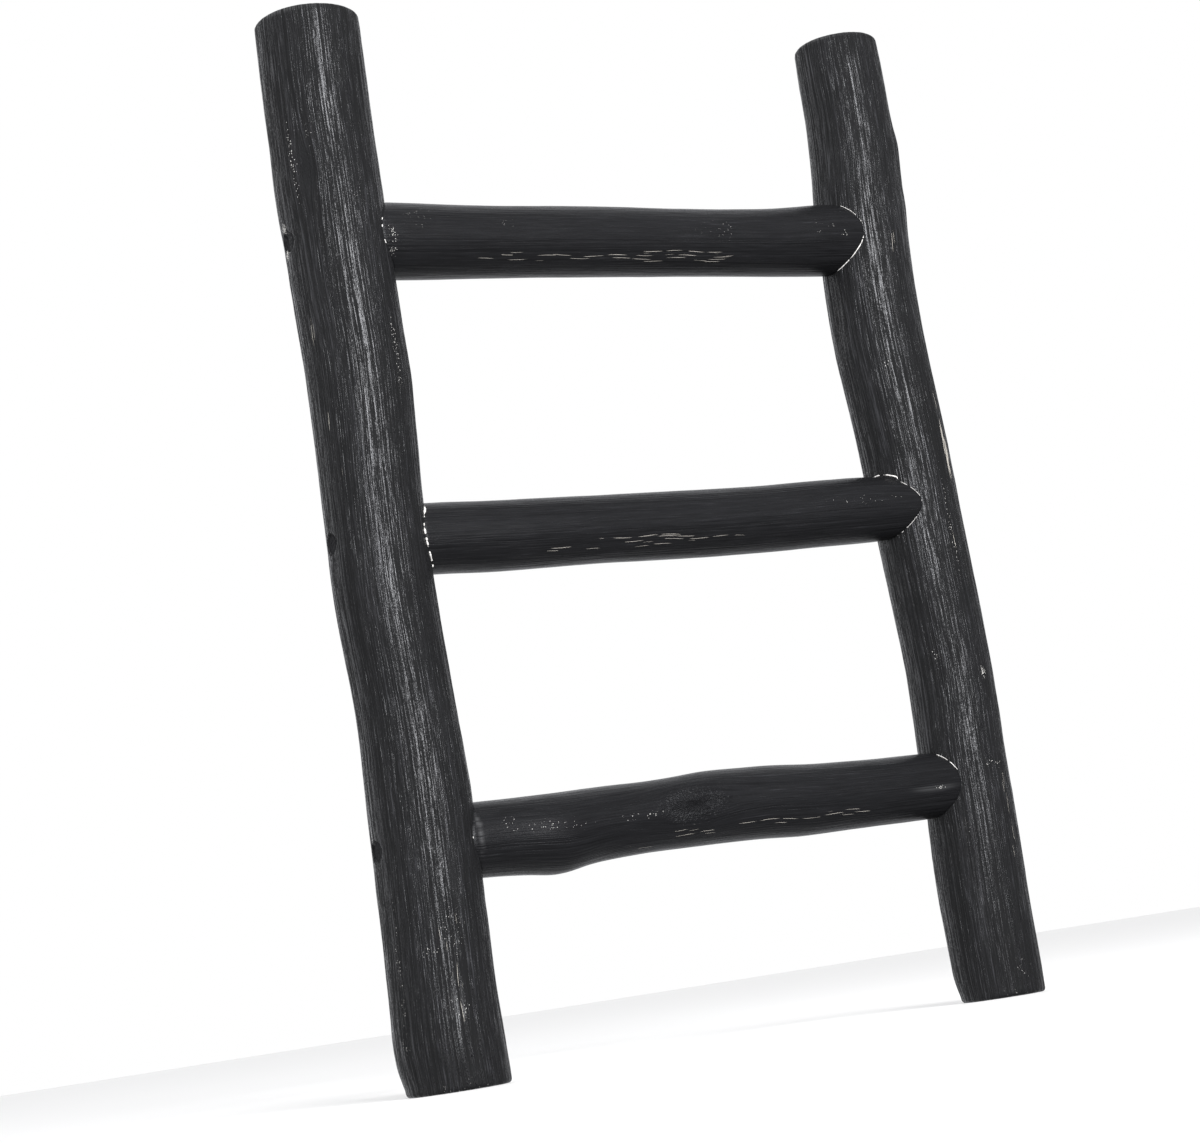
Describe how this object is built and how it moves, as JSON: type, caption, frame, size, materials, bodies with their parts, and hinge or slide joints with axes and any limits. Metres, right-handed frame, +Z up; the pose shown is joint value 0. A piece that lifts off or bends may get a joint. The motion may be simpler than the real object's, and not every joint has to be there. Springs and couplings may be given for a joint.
{
  "type": "towel ladder",
  "caption": "Small leaning towel ladder of natural black-stained logs, with scribed rungs tenoned into round rails, screwed and plugged.",
  "frame": {"origin": "on the floor, under the middle of the ladder's box, between the two sawn feet", "axes": "+X along the rungs towards the right rail, +Y back towards the wall that the ladder leans on, +Z up the rails"},
  "size_m": [0.416, 0.059, 0.6],
  "materials": {
    "stained_log": "satin black stain with fine grain showing and light wear",
    "plug_wood": "matte black stain",
    "screw_steel": "zinc plated"
  },
  "bodies": {
    "root": {"rail_left": "stained_log", "rail_right": "stained_log", "rung_top": "stained_log", "rung_middle": "stained_log", "rung_bottom": "stained_log", "screw_left_top": "screw_steel", "screw_left_middle": "screw_steel", "screw_left_bottom": "screw_steel", "screw_right_top": "screw_steel", "screw_right_middle": "screw_steel", "screw_right_bottom": "screw_steel", "plug_left_top": "plug_wood", "plug_left_middle": "plug_wood", "plug_left_bottom": "plug_wood", "plug_right_top": "plug_wood", "plug_right_middle": "plug_wood", "plug_right_bottom": "plug_wood"}
  },
  "joints": []
}
